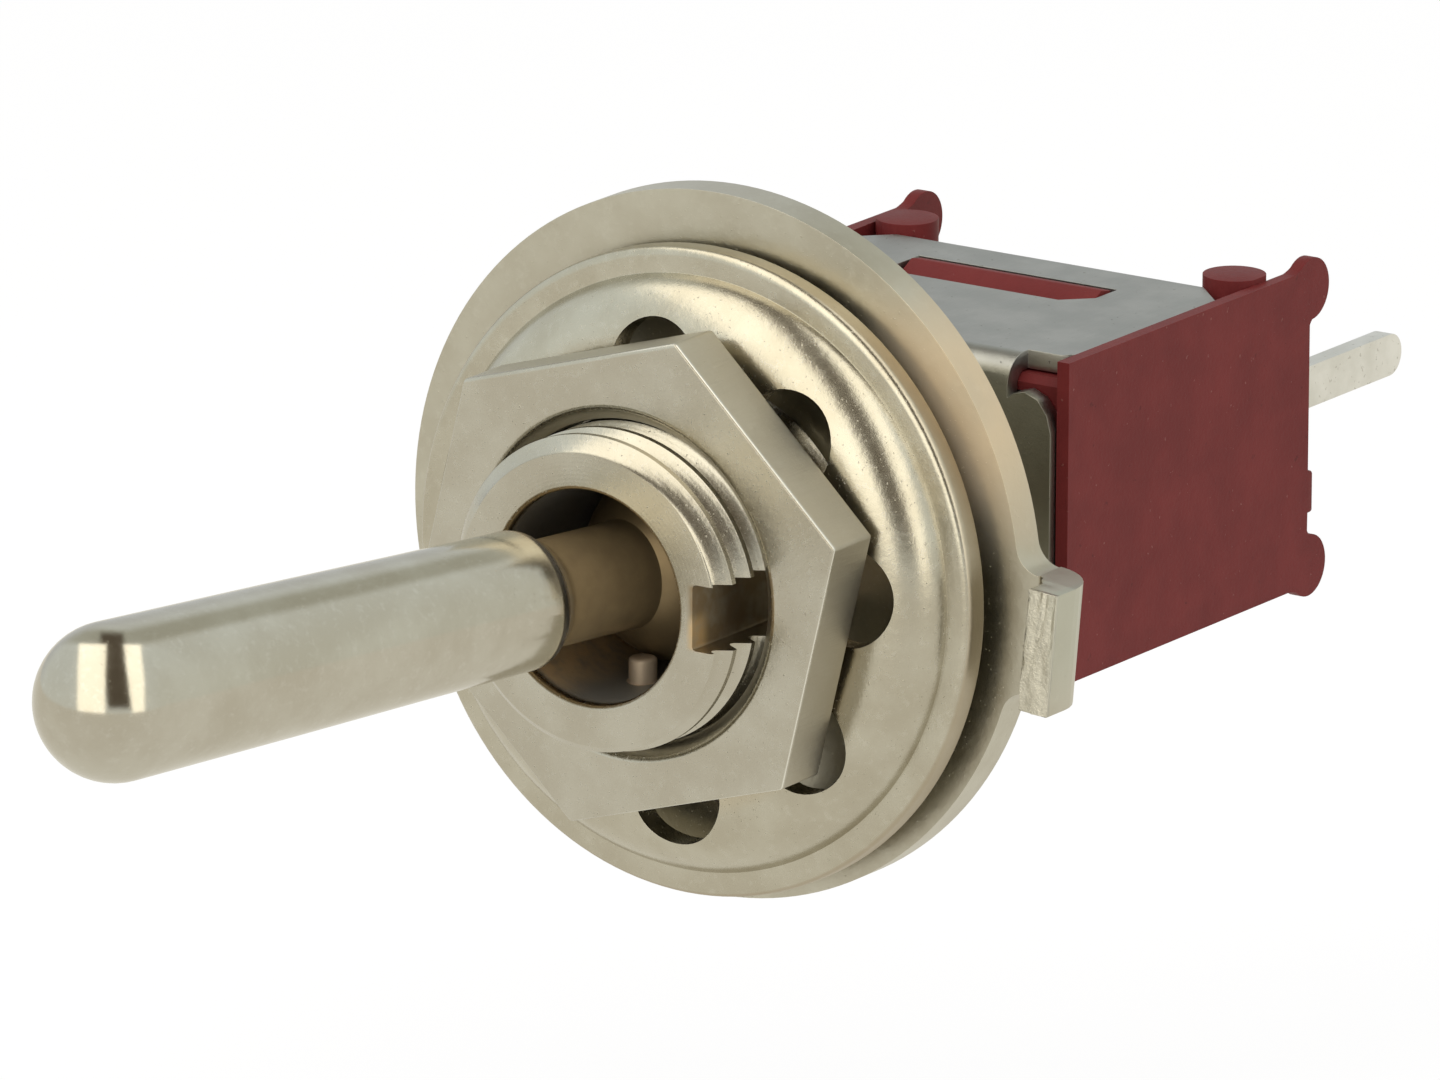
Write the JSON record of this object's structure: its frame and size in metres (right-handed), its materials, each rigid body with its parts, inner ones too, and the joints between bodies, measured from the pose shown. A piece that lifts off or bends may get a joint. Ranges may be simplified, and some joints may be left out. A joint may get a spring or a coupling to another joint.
{
  "type": "panel toggle switch",
  "caption": "Sub-miniature panel toggle switch with a round-tipped metal lever, threaded bushing, hex nut, toothed and keyed washers, bracketed moulded case and blade terminals.",
  "frame": {"origin": "centre of the bracket's front face, on the bushing axis", "axes": "-Y along the bushing axis towards the lever's end, +Y towards the terminals, +X along the throw direction to the keyway side, +Z across the thickness of the case"},
  "size_m": [0.0123, 0.029, 0.0112],
  "materials": {
    "nickel_plate": "satin nickel plating on brass",
    "washer_plate": "bright nickel plating on stamped steel",
    "tinned_steel": "dull tin plating on sheet steel",
    "red_moulding": "moulded thermoset, fine matte surface",
    "silver_plate": "silver plating on copper alloy",
    "steel_pin": "drawn steel",
    "nylon": "natural nylon",
    "spring_steel": "spring wire",
    "insulating_sheet": "fibre sheet",
    "sealing_resin": "cast epoxy"
  },
  "bodies": {
    "housing": {"bushing": "nickel_plate", "pivot_pin": "steel_pin", "bracket": "tinned_steel", "case": "red_moulding", "insulator": "insulating_sheet", "terminal_seal": "sealing_resin", "common_terminal": "silver_plate", "left_terminal": "silver_plate", "right_terminal": "silver_plate", "left_rivet": "silver_plate", "right_rivet": "silver_plate", "keyed_washer": "washer_plate", "lock_washer": "washer_plate", "hex_nut": "nickel_plate"},
    "handle": {"lever": "nickel_plate", "spring": "spring_steel"},
    "follower": {"plunger": "nylon"},
    "contact_arm": {"rocker": "silver_plate"}
  },
  "joints": [
    {"name": "lever_swing", "type": "hinge", "parent": "housing", "child": "handle", "pos_m": [0, -0.0048, 0], "axis": [0, 0, 1], "range_deg": [0, 25]},
    {"name": "plunger_slide", "type": "slide", "parent": "handle", "child": "follower", "axis": [-0.2164, -0.9763, 0], "range_m": [0, 0.0004], "stiffness_N_per_m": 100, "deforming": ["spring"]},
    {"name": "rocker_tilt", "type": "hinge", "parent": "housing", "child": "contact_arm", "pos_m": [0, 0.00224, 0], "axis": [0, 0, 1], "range_deg": [-16, 0]}
  ],
  "couplings": [
    {"joint": "rocker_tilt", "follows": "lever_swing", "ratio": -0.64}
  ]
}
